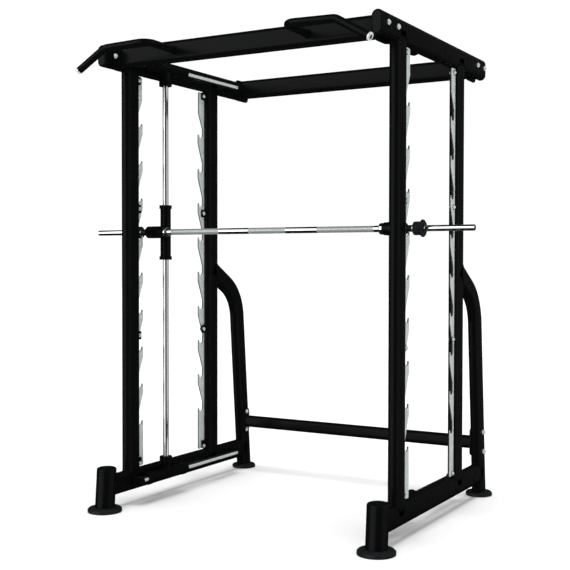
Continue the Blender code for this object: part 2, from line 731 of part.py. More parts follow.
def main():
    clear_scene()
    root = empty(ROOT, (0, 0, 0))
    root.location.y = -ORIGIN_Y
    for side, tag in SIDES:
        side_frame(side, tag, root)
    beams(root)
    grips(root)
    racks(root)
    guide_rods(root)
    car = carriage(root)
    head = crosshead(car)
    bar(head)


main()
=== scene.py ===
"""Looks of a two-axis smith machine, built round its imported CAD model.

Row frame: metres, +Z up, front of the machine at -Y, X = 0 is the mirror plane.
"""
import math

import bmesh
import bpy
from mathutils import Matrix, Vector


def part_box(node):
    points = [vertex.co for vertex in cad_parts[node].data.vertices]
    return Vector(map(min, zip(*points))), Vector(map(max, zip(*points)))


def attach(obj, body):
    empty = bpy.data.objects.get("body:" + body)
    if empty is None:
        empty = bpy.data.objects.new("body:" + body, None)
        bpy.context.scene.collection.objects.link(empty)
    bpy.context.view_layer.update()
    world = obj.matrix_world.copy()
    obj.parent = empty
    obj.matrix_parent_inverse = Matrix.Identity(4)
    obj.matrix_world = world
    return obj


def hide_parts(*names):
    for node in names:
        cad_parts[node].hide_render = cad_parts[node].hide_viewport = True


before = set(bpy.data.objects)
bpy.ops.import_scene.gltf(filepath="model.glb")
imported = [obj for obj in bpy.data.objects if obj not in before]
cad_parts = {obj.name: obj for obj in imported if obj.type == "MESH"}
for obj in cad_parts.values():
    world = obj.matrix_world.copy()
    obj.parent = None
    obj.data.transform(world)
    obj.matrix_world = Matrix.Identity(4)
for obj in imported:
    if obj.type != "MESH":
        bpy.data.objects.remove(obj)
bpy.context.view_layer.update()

SIDES = ((-1, "left"), (1, "right"))
X, Y, Z = Vector((1, 0, 0)), Vector((0, 1, 0)), Vector((0, 0, 1))

# flat-oval frame tube
TUBE_W, TUBE_H = 0.050, 0.100
HALF_ROUND_STEPS = 20
ROUND_STEPS = 48

# rear leg: where its bend ends, and its slopes at the two ends of the bend
LEG_BEND_END = (0.5721, 0.860)
LEG_BEND_R = 0.22
LEG_SLOPES = (math.radians(30), math.radians(85))

# front post
POST_R = 0.0455
POST_LEAN = 0.075

# hook racks: depth is measured from the upright's face
HOOKS = 9
HOOK_PITCH = 0.180
LOWEST_TIP_Z = 0.385
TIP_DEPTH, ROOT_DEPTH, PRONG_T, NOTCH_DEPTH = 0.0532, 0.0140, 0.0080, 0.0185
TAB_Z = (0.190, 0.802, 1.412, 2.028)
TAB_H, TAB_OUT, TAB_T = 0.040, 0.030, 0.008
RACK_BOLT_Z = (0.180, 0.802, 1.412, 2.028)
RACK_BOLT_OUT = 0.0165

# rods, sleeves and the bar
ROD_R = 0.014
RUNNING_FIT = 0.0005
SLEEVE_R, FLANGE_R = 0.0255, 0.0305
SOCKET_R, SOCKET_H = 0.0310, 0.030
BARREL_R = 0.0290
BAR_R, BAR_END_R, BAR_STEP_X = 0.014, 0.0130, 0.768
STOP_SLEEVE_L, STOP_SLEEVE_R, STOP_DISC_T = 0.029, 0.0145, 0.013
KNURLS = ((-0.533, -0.259), (-0.098, 0.098), (0.259, 0.533))
KNURL_PITCH, KNURL_RISE = 0.0025, 0.00035

BOLT_R = 0.0100
WASHER_R = 0.0120


# ---------------------------------------------------------------- materials
class Shader:
    """A Principled material built from a few procedural layers in object space."""

    def __init__(self, name):
        self.mat = bpy.data.materials.new(name)
        self.mat.use_nodes = True
        self.tree = self.mat.node_tree
        self.bsdf = self.tree.nodes["Principled BSDF"]
        self.place = self.tree.nodes.new("ShaderNodeTexCoord").outputs["Object"]

    def link(self, a, b):
        self.tree.links.new(a, b)

    def noise(self, scale, detail=3.0, rough=0.5, stretch=None):
        node = self.tree.nodes.new("ShaderNodeTexNoise")
        node.inputs["Scale"].default_value = scale
        node.inputs["Detail"].default_value = detail
        node.inputs["Roughness"].default_value = rough
        source = self.place
        if stretch:
            mapping = self.tree.nodes.new("ShaderNodeMapping")
            mapping.inputs["Scale"].default_value = stretch
            self.link(source, mapping.inputs["Vector"])
            source = mapping.outputs["Vector"]
        self.link(source, node.inputs["Vector"])
        return node.outputs["Fac"]

    def cells(self, scale):
        node = self.tree.nodes.new("ShaderNodeTexVoronoi")
        node.inputs["Scale"].default_value = scale
        self.link(self.place, node.inputs["Vector"])
        return node.outputs["Color"]

    def span(self, value, low, high, out_low, out_high):
        node = self.tree.nodes.new("ShaderNodeMapRange")
        for key, number in (("From Min", low), ("From Max", high),
                            ("To Min", out_low), ("To Max", out_high)):
            node.inputs[key].default_value = number
        self.link(value, node.inputs["Value"])
        return node.outputs["Result"]

    def colours(self, value, first, second, low=0.35, high=0.65):
        ramp = self.tree.nodes.new("ShaderNodeValToRGB")
        for element, colour, position in zip(ramp.color_ramp.elements, (first, second),
                                             (low, high)):
            element.color = (*colour, 1.0)
            element.position = position
        self.link(value, ramp.inputs["Fac"])
        self.link(ramp.outputs["Color"], self.bsdf.inputs["Base Color"])
        return ramp.outputs["Color"]

    def paint_dark_reflection(self, own_colour, dark_reflection, start, end):
        """Painted dark reflection on the surfaces that look up or down."""
        split = self.tree.nodes.new("ShaderNodeSeparateXYZ")
        self.link(self.tree.nodes.new("ShaderNodeNewGeometry").outputs["Normal"],
                  split.inputs["Vector"])
        height = self.tree.nodes.new("ShaderNodeMath")
        height.operation = "ABSOLUTE"
        self.link(split.outputs["Z"], height.inputs[0])
        # painted reflection: the base colour turns dark where the normal points up or down
        mix = self.tree.nodes.new("ShaderNodeMix")
        mix.data_type = "RGBA"
        self.link(self.span(height.outputs["Value"], start, end, 0.0, 1.0), mix.inputs[0])
        self.link(own_colour, mix.inputs[6])
        mix.inputs[7].default_value = (*dark_reflection, 1.0)
        self.link(mix.outputs[2], self.bsdf.inputs["Base Color"])

    def roughness(self, value, low, high):
        self.link(self.span(value, 0.3, 0.7, low, high), self.bsdf.inputs["Roughness"])

    def bump(self, *layers):
        """Each layer is (height, strength, distance in metres)."""
        normal = None
        for height, strength, distance in layers:
            node = self.tree.nodes.new("ShaderNodeBump")
            node.inputs["Strength"].default_value = strength
            node.inputs["Distance"].default_value = distance
            self.link(height, node.inputs["Height"])
            if normal:
                self.link(normal, node.inputs["Normal"])
            normal = node.outputs["Normal"]
        self.link(normal, self.bsdf.inputs["Normal"])

    def set(self, **sockets):
        for key, number in sockets.items():
            self.bsdf.inputs[key.replace("_", " ")].default_value = number
        return self


def powder_coat():
    s = Shader("powder_coat_black").set(Specular_IOR_Level=0.05)
    s.colours(s.noise(260, 4), (0.0022, 0.0026, 0.0025), (0.0038, 0.0043, 0.0041))
    s.roughness(s.noise(14, 4, 0.6), 0.20, 0.30)
    s.bump((s.noise(520, 2), 0.10, 0.0004), (s.noise(90, 2), 0.05, 0.0008))
    return s.mat


def weld_paint():
    s = Shader("painted_weld").set(Specular_IOR_Level=0.05)
    s.colours(s.noise(300, 3), (0.0022, 0.0026, 0.0025), (0.0038, 0.0043, 0.0041))
    s.roughness(s.noise(120, 3), 0.30, 0.42)
    s.bump((s.noise(700, 3), 0.25, 0.0004))
    return s.mat


def cap_plastic():
    s = Shader("moulded_cap_black").set(Specular_IOR_Level=0.06)
    s.colours(s.noise(180, 3), (0.0026, 0.0032, 0.0034), (0.0042, 0.0048, 0.0050))
    s.roughness(s.noise(30, 3), 0.12, 0.20)
    s.bump((s.noise(1200, 2), 0.12, 0.0002))
    return s.mat


def rubber(name, tint, low, high):
    s = Shader(name).set(Specular_IOR_Level=0.16)
    s.colours(s.noise(70, 5, 0.6), tint, tuple(c * 1.7 for c in tint))
    s.roughness(s.noise(26, 4), low, high)
    s.bump((s.noise(900, 3), 0.30, 0.0003), (s.noise(60, 2), 0.12, 0.0008))
    return s.mat


def plated(name, low, high, tone=(0.82, 0.84, 0.84), stretch=(1, 1, 1), metallic=1.0):
    """Plated steel with faint handling marks along the piece."""
    s = Shader(name).set(Metallic=metallic)
    s.colours(s.noise(9, 3), tuple(c * 0.96 for c in tone), tone)
    s.roughness(s.noise(60, 4, 0.6, stretch), low, high)
    s.bump((s.noise(300, 2, 0.5, stretch), 0.04, 0.0002))
    return s.mat


def rod_with_painted_reflection():
    """Ground rod with a painted dark reflection along its top and its underside."""
    s = Shader("chrome_rod_y").set(Metallic=0.35)
    own_colour = s.colours(s.noise(9, 3), (0.84, 0.88, 0.87), (0.90, 0.94, 0.93))
    # painted dark reflection on the rod's top and underside, standing in for the dark room it
    # reflects
    s.paint_dark_reflection(own_colour, (0.010, 0.012, 0.013), 0.42, 0.62)
    s.roughness(s.noise(60, 4, 0.6, (1, 0.05, 1)), 0.22, 0.34)
    s.bump((s.noise(300, 2, 0.5, (1, 0.05, 1)), 0.04, 0.0002))
    return s.mat


def zinc_plate():
    s = Shader("rack_zinc").set(Metallic=0.25)
    mottled = s.cells(70)
    s.colours(mottled, (0.66, 0.725, 0.72), (0.80, 0.86, 0.86), 0.1, 0.9)
    s.roughness(s.noise(40, 4, 0.6, (8, 8, 0.5)), 0.30, 0.45)
    s.bump((s.noise(420, 3, 0.6, (4, 4, 0.12)), 0.12, 0.0003))
    return s.mat


def cut_edge():
    """Laser-cut rim of the rack plates: darker, with fine striations."""
    s = Shader("rack_cut_edge").set(Specular_IOR_Level=0.05)
    s.colours(s.noise(160, 3), (0.022, 0.026, 0.027), (0.060, 0.068, 0.068))
    s.roughness(s.noise(300, 3), 0.35, 0.55)
    s.bump((s.noise(900, 2, 0.5, (0.1, 1, 1)), 0.35, 0.0003))
    return s.mat


MATERIALS = {
    "frame": powder_coat(),
    "weld": weld_paint(),
    "cap": cap_plastic(),
    "foot": rubber("foot_rubber", (0.0075, 0.0090, 0.0098), 0.34, 0.50),
    "stop": rubber("stop_rubber", (0.0090, 0.0100, 0.0130), 0.36, 0.52),
    "seal": rubber("seal_rubber", (0.0060, 0.0060, 0.0064), 0.45, 0.60),
    "chrome_x": plated("chrome_bar", 0.03, 0.08, stretch=(0.05, 1, 1)),
    "chrome_y": rod_with_painted_reflection(),
    "chrome_z": plated("chrome_rod_z", 0.05, 0.12, stretch=(1, 1, 0.05)),
    "knurl": plated("chrome_knurl", 0.40, 0.55, (0.46, 0.50, 0.495), metallic=0.55),
    "bolt": plated("bolt_zinc", 0.18, 0.32, (0.88, 0.92, 0.91), metallic=0.35),
    "rack": zinc_plate(),
    "cut": cut_edge(),
}


# ---------------------------------------------------------------- mesh tools
def piece(name, solid, finish, body, replaces=(), sharp=32.0):
    """Makes one shown piece of a bmesh, riding on a CAD body."""
    bmesh.ops.recalc_face_normals(solid, faces=solid.faces)
    mesh = bpy.data.meshes.new(name)
    solid.to_mesh(mesh)
    solid.free()
    mesh.materials.append(MATERIALS[finish])
    mesh.shade_smooth()
    mesh.set_sharp_from_angle(angle=math.radians(sharp))
    ob = bpy.data.objects.new(name, mesh)
    bpy.context.collection.objects.link(ob)
    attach(ob, body)
    if replaces:
        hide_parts(*replaces)
    return ob


def merged(*solids):
    """One bmesh that holds several closed solids."""
    whole = bmesh.new()
    for solid in solids:
        mesh = bpy.data.meshes.new("part")
        bmesh.ops.recalc_face_normals(solid, faces=solid.faces)
        solid.to_mesh(mesh)
        solid.free()
        whole.from_mesh(mesh)
        bpy.data.meshes.remove(mesh)
    return whole


def oval(width, height, steps=HALF_ROUND_STEPS):
    """Points (a, b) of a flat oval: width along a, height along b."""
    r, half = width / 2, (height - width) / 2
    points = []
    for start, shift in ((0.0, half), (math.pi, -half)):
        for i in range(steps + 1):
            t = start + math.pi * i / steps
            points.append((r * math.cos(t), shift + r * math.sin(t)))
    return points


def circle(radius, steps=ROUND_STEPS):
    return [(radius * math.cos(2 * math.pi * i / steps),
             radius * math.sin(2 * math.pi * i / steps)) for i in range(steps)]


def skin(bm, loops, ends=True, ring=False):
    """Faces between neighbouring loops, and over the two ends."""
    n = len(loops[0])
    pairs = list(zip(loops, loops[1:]))
    if ring:
        pairs.append((loops[-1], loops[0]))
    for one, two in pairs:
        for i in range(n):
            j = (i + 1) % n
            bm.faces.new((one[i], one[j], two[j], two[i]))
    if ends and not ring:
        bm.faces.new(list(reversed(loops[0])))
        bm.faces.new(loops[-1])
    return bm


def sweep(stations):
    """Closed solid through stations (outline, point, axis a, axis b)."""
    bm = bmesh.new()
    loops = []
    for outline, p, a, b in stations:
        p, a, b = Vector(p), Vector(a), Vector(b)
        loops.append([bm.verts.new(p + a * u + b * v) for u, v in outline])
    return skin(bm, loops)


def fillet(points, radius, steps=4):
    """An outline with its corners rounded; a point may carry its own radius."""
    rounded = [Vector(points[0][:2])]
    for before, corner, after in zip(points, points[1:], points[2:]):
        b, c, a = Vector(before[:2]), Vector(corner[:2]), Vector(after[:2])
        r = corner[2] if len(corner) > 2 else radius
        into, out = c - b, a - c
        turn = into.angle(out)
        if r <= 0 or turn < 0.01:
            rounded.append(c)
            continue
        reach = min(r * math.tan(turn / 2), into.length * 0.48, out.length * 0.48)
        start, end = c - into.normalized() * reach, c + out.normalized() * reach
        for k in range(steps + 1):
            t = k / steps
            rounded.append(start * (1 - t) ** 2 + c * 2 * t * (1 - t) + end * t ** 2)
    rounded.append(Vector(points[-1][:2]))
    return rounded


def across(axis):
    """Two directions at right angles to an axis."""
    axis = axis.normalized()
    side = axis.cross(Z) if abs(axis.z) < 0.9 else axis.cross(X)
    side.normalize()
    return side, axis.cross(side)


def turned(profile, centre, axis, steps=ROUND_STEPS, ring=False, ribs=None):
    """Solid of revolution; profile is (distance along the axis, radius) pairs.

    ring closes the profile on itself, for a piece with a bore. ribs(angle, radius)
    gives the radius at an angle.
    """
    bm = bmesh.new()
    centre, axis = Vector(centre), Vector(axis).normalized()
    a, b = across(axis)
    loops = []
    for s, r in profile:
        loop = []
        for i in range(steps):
            t = 2 * math.pi * i / steps
            here = ribs(t, r) if ribs else r
            loop.append(bm.verts.new(centre + axis * s + (a * math.cos(t)
                                                         + b * math.sin(t)) * here))
        loops.append(loop)
    return skin(bm, loops, ring=ring)


def bored(profile, bore, centre, axis, steps=ROUND_STEPS, lip=0.0012, ribs=None):
    """A turned piece with a through bore whose mouths are chamfered."""
    start, end = profile[0][0], profile[-1][0]
    inner = [(end, bore + lip), (end - lip, bore), (start + lip, bore), (start, bore + lip)]
    return turned([*profile, *inner], centre, axis, steps, ring=True, ribs=ribs)


def block(lo, hi, edge, along=None, corner=0.0, segments=3):
    """Box with rounded edges; the corners seen along one axis may be rounder."""
    bm = bmesh.new()
    bmesh.ops.create_cube(bm, size=1.0)
    lo, hi = Vector(map(min, lo, hi)), Vector(map(max, lo, hi))
    bmesh.ops.scale(bm, verts=bm.verts, vec=hi - lo)
    bmesh.ops.translate(bm, verts=bm.verts, vec=(lo + hi) / 2)
    if corner:
        parallel = [e for e in bm.edges
                    if abs((e.verts[0].co - e.verts[1].co).normalized().dot(along)) > 0.9]
        bmesh.ops.bevel(bm, geom=parallel, offset=corner, segments=6, affect="EDGES",
                        profile=0.5)
    hard = [e for e in bm.edges if e.calc_face_angle(0.0) > math.radians(40)]
    bmesh.ops.bevel(bm, geom=hard, offset=edge, segments=segments, affect="EDGES",
                    profile=0.5)
    return bm


def tube(points, radius, reference, steps=32, closed=False):
    """Round tube along points; radius may be a function of the point's number."""
    bm = bmesh.new()
    loops = []
    count = len(points)
    for i, p in enumerate(points):
        before = points[(i - 1) % count] if closed or i else points[i]
        after = points[(i + 1) % count] if closed or i < count - 1 else points[i]
        t = (after - before).normalized()
        a = t.cross(reference).normalized()
        b = t.cross(a)
        r = radius(i) if callable(radius) else radius
        loops.append([bm.verts.new(p + a * u + b * v) for u, v in circle(r, steps)])
    return skin(bm, loops, ring=closed)


def resampled(points, spacing):
    """The same closed path with evenly spaced points."""
    count = len(points)
    lengths = [0.0]
    for i in range(count):
        lengths.append(lengths[-1] + (points[(i + 1) % count] - points[i]).length)
    number = max(12, round(lengths[-1] / spacing))
    even, k = [], 0
    for i in range(number):
        s = lengths[-1] * i / number
        while lengths[k + 1] < s:
            k += 1
        share = (s - lengths[k]) / max(lengths[k + 1] - lengths[k], 1e-9)
        even.append(points[k % count].lerp(points[(k + 1) % count], share))
    return even


WELD_R, WELD_STEP, WELD_RIPPLE = 0.0034, 0.0016, 4


def bead(path, reference):
    """Rippled weld bead along a closed path."""
    def swell(i):
        return WELD_R * (0.86 + 0.14 * abs(math.sin(math.pi * i / WELD_RIPPLE)))
    return tube(resampled(path, WELD_STEP), swell, Vector(reference), 8, closed=True)


def knurled(x0, x1, radius, centre):
    """Diamond-knurled band: small pyramids on a cylinder along X."""
    bm = bmesh.new()
    columns = 2 * round(math.pi * radius / KNURL_PITCH)
    rows = 2 * round((x1 - x0) / KNURL_PITCH)
    loops = []
    for j in range(rows + 1):
        loop = []
        for i in range(2 * columns // 2):
            t = 2 * math.pi * i / columns
            high = (i + j) % 2 == 0 and 0 < j < rows
            r = radius + (KNURL_RISE if high else 0.0)
            x = x0 + (x1 - x0) * j / rows
            loop.append(bm.verts.new((x, centre.y + r * math.sin(t),
                                      centre.z + r * math.cos(t))))
        loops.append(loop)
    return skin(bm, loops)


# ---------------------------------------------------------------- fasteners
def dome_bolt(point, axis, radius=BOLT_R, washer=WASHER_R):
    """Button-head bolt with a hexagon socket on a washer; point is on the face."""
    point, axis = Vector(point), Vector(axis).normalized()
    flat = turned(fillet([(-0.001, washer - 0.0006), (0.0018, washer), (0.0018, 0.004)],
                         0.0005), point, axis, 32)
    high = radius * 0.62
    crown = fillet([(0.0016, radius), (0.0030, radius), (high * 0.85 + 0.0018, radius * 0.72),
                    (high + 0.0018, radius * 0.44)], 0.0016)
    head = bmesh.new()
    a, b = across(axis)
    loops = []
    for s, r in crown:
        loops.append([head.verts.new(point + axis * s + a * u + b * v)
                      for u, v in circle(r, 30)])
    # hexagon socket sunk into the crown
    for depth, reach in ((high + 0.0018, 1.0), (high - 0.0020, 1.0)):
        loop = []
        for i in range(30):
            t = 2 * math.pi * i / 30
            sector = (t % (math.pi / 3)) - math.pi / 6
            r = radius * 0.36 * reach * math.cos(math.pi / 6) / math.cos(sector)
            loop.append(head.verts.new(point + axis * depth + a * r * math.cos(t)
                                       + b * r * math.sin(t)))
        loops.append(loop)
    skin(head, loops)
    return merged(flat, head)


def hex_nut(point, axis, radius=0.0094, height=0.0075, washer=WASHER_R):
    """Hexagon nut with a chamfered crown, a washer under it and a bolt end in it."""
    point, axis = Vector(point), Vector(axis).normalized()
    flat = turned(fillet([(-0.001, washer - 0.0006), (0.0016, washer), (0.0016, 0.004)],
                         0.0005), point, axis, 32)

    def hexagon(t, r):
        sector = (t % (math.pi / 3)) - math.pi / 6
        flat_r = radius * math.cos(math.pi / 6) / math.cos(sector)
        return min(r, flat_r)

    nut = turned([(0.0016, radius * 0.90), (0.0022, radius), (height - 0.0008, radius),
                  (height, radius * 0.88), (height, radius * 0.60)], point, axis, 36,
                 ribs=hexagon)
    thread = turned(fillet([(0.002, 0.0050), (height + 0.0022, 0.0050),
                            (height + 0.0028, 0.0040)], 0.0004), point, axis, 24)
    return merged(flat, nut, thread)


# ---------------------------------------------------------------- side frames
def weld_round_upright(x, y, joint_z, up):
    """Bead where an upright meets the rounded side of a rail above or below it."""
    path = []
    for u, v in oval(TUBE_W + 0.001, TUBE_H + 0.001):
        drop = math.sqrt(max((TUBE_W / 2) ** 2 - u * u, 0.0))
        z = joint_z + up * ((TUBE_H - TUBE_W) / 2 + drop)
        path.append(Vector((x + u, y + v, z)))
    return bead(path, Z)


def rail_cap(x, y, z, out):
    """Domed plug with a thin lip; out is -1 at the front and 1 at the rear."""
    depth, roll = 0.0135, 0.0090
    stations = []

    def station(d, inset):
        outline = oval(TUBE_W - 2 * inset, TUBE_H - 2 * inset)
        stations.append((outline, (x, y + out * d, z), X, Z))

    station(-0.004, 0.0030)
    station(0.0, 0.0030)
    station(0.0, 0.0010)
    station(0.0008, 0.0)
    station(0.0038, 0.0)
    for k in range(1, 9):
        t = math.pi / 2 * k / 8
        station(0.0038 + (depth - 0.0038) * math.sin(t), roll * (1 - math.cos(t)))
    station(depth - 0.0004, roll + 0.0012)
    station(depth - 0.0004, roll + 0.0060)
    return sweep(stations)


def rod_bracket(side, x_rail, rod_x, y0, y1, z):
    """Block on the rail's inner face that holds the end of a guide rod."""
    tip = side * (abs(rod_x) - 0.0235)
    root = side * (abs(x_rail) - 0.003)
    return block((root, y0, z - 0.0188), (tip, y1, z + 0.0188), 0.0012, Y, 0.0085)


def side_rails(side, tag):
    """Top and base rails with their caps, rod brackets and bolts."""
    up_lo, up_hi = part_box(f"upright_front_{tag}")
    x = (up_lo.x + up_hi.x) / 2
    inner = side * (abs(x) - TUBE_W / 2)
    outer = side * (abs(x) + TUBE_W / 2)
    top_lo, top_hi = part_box(f"top_rail_{tag}")
    z_top = (top_lo.z + top_hi.z) / 2
    cap_reach = 0.0060
    rear_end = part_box(f"rail_cap_rear_{tag}")[1].y - cap_reach
    outline = oval(TUBE_W, TUBE_H)
    body = sweep([(outline, (x, y, z_top), X, Z) for y in (top_lo.y, rear_end)])
    parts = [body]
    rod_lo, rod_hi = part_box(f"top_rod_{tag}")
    rod = (rod_lo + rod_hi) / 2
    depth = 0.0214
    for y0, y1 in ((rod_lo.y - depth, rod_lo.y + 0.0002), (rod_hi.y - 0.0002, rod_hi.y + depth)):
        parts.append(rod_bracket(side, inner, rod.x, y0, y1, rod.z))
    piece(f"top_rail_tube_{tag}", merged(*parts), "frame", "frame", (f"top_rail_{tag}",))
    piece(f"top_rail_plug_front_{tag}", rail_cap(x, top_lo.y, z_top, -1), "cap", "frame",
          (f"rail_cap_front_{tag}",))
    short = rail_cap(x, rear_end, z_top, 1)
    bmesh.ops.scale(short, verts=[v for v in short.verts if v.co.y > rear_end],
                    vec=(1, cap_reach / 0.0135, 1), space=Matrix.Translation((0, -rear_end, 0)))
    piece(f"top_rail_plug_rear_{tag}", short, "cap", "frame", (f"rail_cap_rear_{tag}",))

    base_lo, base_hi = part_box(f"base_rail_{tag}")
    z_base = (base_lo.z + base_hi.z) / 2
    foot_y, leg_y = post_y(tag, z_base), leg_line_y(z_base)
    parts = [sweep([(outline, (x, y, z_base), X, Z) for y in (foot_y, leg_y)])]
    low_lo, low_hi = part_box(f"base_rod_{tag}")
    low = (low_lo + low_hi) / 2
    for y0, y1 in ((low_lo.y - depth, low_lo.y + 0.0002), (low_hi.y - 0.0002, low_hi.y + depth)):
        parts.append(rod_bracket(side, inner, low.x, y0, y1, low.z))
    piece(f"base_rail_tube_{tag}", merged(*parts), "frame", "frame", (f"base_rail_{tag}",))

    # bolts through the rails into the beams' end plates
    heads = []
    for beam, spread in (("front_beam", 0.048), ("rear_beam", 0.0475)):
        lo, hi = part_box(beam)
        for s in (-1, 1):
            y = (lo.y + hi.y) / 2 + s * spread
            heads.append(dome_bolt((outer, y, z_top + 0.006), X * side))
            heads.append(hex_nut((side * (abs(inner) - 0.0083), y, z_top + 0.006), X * -side))
    piece(f"beam_bolts_{tag}", merged(*heads), "bolt", "frame")
    # painted clamp screws in the rod brackets
    screws = []
    for rod_centre, lo, hi in ((rod, rod_lo, rod_hi), (low, low_lo, low_hi)):
        tip = side * (abs(rod_centre.x) - 0.0235)
        for y in (lo.y - depth / 2, hi.y + depth / 2):
            screws.append(dome_bolt((tip, y, rod_centre.z), X * -side, 0.0075, 0.0090))
    piece(f"bracket_screws_{tag}", merged(*screws), "frame", "frame")


def post_y(tag, z):
    """Centre of a front post at a height."""
    lo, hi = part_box(f"foot_disc_front_{tag}")
    return (lo.y + hi.y) / 2 + POST_LEAN * (z - 0.01)


def leg_line_y(z):
    """Centre of a rear leg's straight lower part at a height."""
    return LEG_BEND_END[0] + (LEG_BEND_END[1] - z) / math.tan(LEG_SLOPES[1])


def leg_stations(x):
    """Points and in-plane axes down a rear leg, from the upright to its disc."""
    steep, flat = LEG_SLOPES[1], LEG_SLOPES[0]
    centre_y = LEG_BEND_END[0] - LEG_BEND_R * math.sin(steep)
    centre_z = LEG_BEND_END[1] - LEG_BEND_R * math.cos(steep)
    stations = []
    count = 28
    for i in range(count + 1):
        t = flat + (steep - flat) * i / count
        stations.append((Vector((x, centre_y + LEG_BEND_R * math.sin(t),
                                 centre_z + LEG_BEND_R * math.cos(t))),
                         Vector((0, math.sin(t), math.cos(t)))))
    first, axis = stations[0]
    lo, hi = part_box("upright_rear_left")
    run = (first.y - (hi.y - TUBE_H / 2)) / math.cos(flat)
    along = Vector((0, math.cos(flat), -math.sin(flat)))
    stations.insert(0, (first - along * run, axis))
    foot_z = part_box("foot_disc_rear_left")[1].z - 0.002
    stations.append((Vector((x, leg_line_y(foot_z), foot_z)), stations[-1][1]))
    return stations


def uprights_and_leg(side, tag):
    lo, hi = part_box(f"upright_front_{tag}")
    x = (lo.x + hi.x) / 2
    z_base = sum(v.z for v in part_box(f"base_rail_{tag}")) / 2
    z_top = sum(v.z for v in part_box(f"top_rail_{tag}")) / 2
    outline = oval(TUBE_W, TUBE_H)
    welds = []
    for end, s in (("front", 1), ("rear", -1)):
        lo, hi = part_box(f"upright_{end}_{tag}")
        y = lo.y + TUBE_H / 2 if end == "front" else hi.y - TUBE_H / 2
        face = y + s * TUBE_H / 2
        parts = [sweep([(outline, (x, y, z), X, Y) for z in (z_base, z_top)])]
        rack_lo, rack_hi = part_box(f"rack_{end}_{tag}")
        flush = side * (min(abs(rack_lo.x), abs(rack_hi.x)) - 0.0003)
        back = flush - side * TAB_T
        for z in TAB_Z:
            parts.append(block((flush, face - s * 0.003, z - TAB_H / 2),
                               (back, face + s * TAB_OUT, z + TAB_H / 2), 0.0007, X, 0.007))
        piece(f"upright_tube_{end}_{tag}", merged(*parts), "frame", "frame",
              (f"upright_{end}_{tag}",))
        welds.append(weld_round_upright(x, y, z_base, 1))
        welds.append(weld_round_upright(x, y, z_top, -1))

    stations = leg_stations(x)
    piece(f"rear_leg_tube_{tag}", sweep([(outline, p, X, b) for p, b in stations]),
          "frame", "frame", (f"rear_leg_{tag}",))
    # bead where the leg leaves the rear upright
    start, axis = stations[0]
    slope = LEG_SLOPES[0]
    upright_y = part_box(f"upright_rear_{tag}")[1].y - TUBE_H / 2
    path = []
    for u, v in oval(TUBE_W, TUBE_H):
        reach = (TUBE_H - TUBE_W) / 2 + math.sqrt(max((TUBE_W / 2) ** 2 - u * u, 0.0))
        p = start + X * u + axis * v
        run = (upright_y + reach - p.y) / math.cos(slope)
        path.append(p + Vector((0, math.cos(slope), -math.sin(slope))) * run)
    welds.append(bead(path, (0, math.cos(slope), -math.sin(slope))))
    # beads where the base rail meets the post and the leg
    path, path_leg = [], []
    for u, v in oval(TUBE_W, TUBE_H):
        z = z_base + v
        path.append(Vector((x + u, post_y(tag, z) + math.sqrt(POST_R ** 2 - u * u), z)))
        reach = (TUBE_H - TUBE_W) / 2 + math.sqrt(max((TUBE_W / 2) ** 2 - u * u, 0.0))
        path_leg.append(Vector((x + u, leg_line_y(z) - reach / math.sin(LEG_SLOPES[1]), z)))
    welds.append(bead(path, Y))
    welds.append(bead(path_leg, Y))
    piece(f"side_welds_{tag}", merged(*welds), "weld", "frame")


def feet(side, tag):
    """Front post with its plug, and the two foot discs."""
    lo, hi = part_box(f"front_post_{tag}")
    x = (lo.x + hi.x) / 2
    cap_lo, cap_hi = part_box(f"post_cap_{tag}")
    stations = []
    for z, r in ((lo.z - 0.001, POST_R), (cap_lo.z - 0.0015, POST_R),
                 (cap_lo.z - 0.0005, POST_R - 0.0010)):
        stations.append((circle(r, 64), (x, post_y(tag, z), z), X, Y))
    piece(f"front_post_tube_{tag}", sweep(stations), "frame", "frame", (f"front_post_{tag}",))

    stations = []
    rise, lip, roll = cap_hi.z - cap_lo.z, 0.0040, 0.0150

    def station(z, r):
        stations.append((circle(r, 64), (x, post_y(tag, z), z), X, Y))

    station(cap_lo.z - 0.0005, POST_R - 0.0014)
    station(cap_lo.z, POST_R - 0.0006)
    station(cap_lo.z + 0.0006, POST_R)
    station(cap_lo.z + lip, POST_R)
    for k in range(1, 11):
        t = math.pi / 2 * k / 10
        station(cap_lo.z + lip + (rise - lip - 0.0010) * math.sin(t),
                POST_R - roll * (1 - math.cos(t)))
    station(cap_hi.z - 0.0003, POST_R - roll - 0.012)
    piece(f"front_post_plug_{tag}", sweep(stations), "cap", "frame", (f"post_cap_{tag}",))

    for end in ("front", "rear"):
        lo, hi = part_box(f"foot_disc_{end}_{tag}")
        centre = (lo + hi) / 2
        r, h = (hi.x - lo.x) / 2, hi.z - lo.z
        profile = fillet([(0.0, 0.01), (0.0, r - 0.0025), (0.0030, r), (h * 0.62, r),
                          (h * 0.90, r - 0.0060), (h * 0.94, r - 0.0140),
                          (h * 0.94, r - 0.0155), (h, r - 0.0165), (h, 0.01)], 0.0024)
        piece(f"foot_pad_{end}_{tag}", turned(profile, (centre.x, centre.y, lo.z), Z, 96),
              "foot", "frame", (f"foot_disc_{end}_{tag}",))


# ---------------------------------------------------------------- cross beams
WELD_BULGE = 0.0040


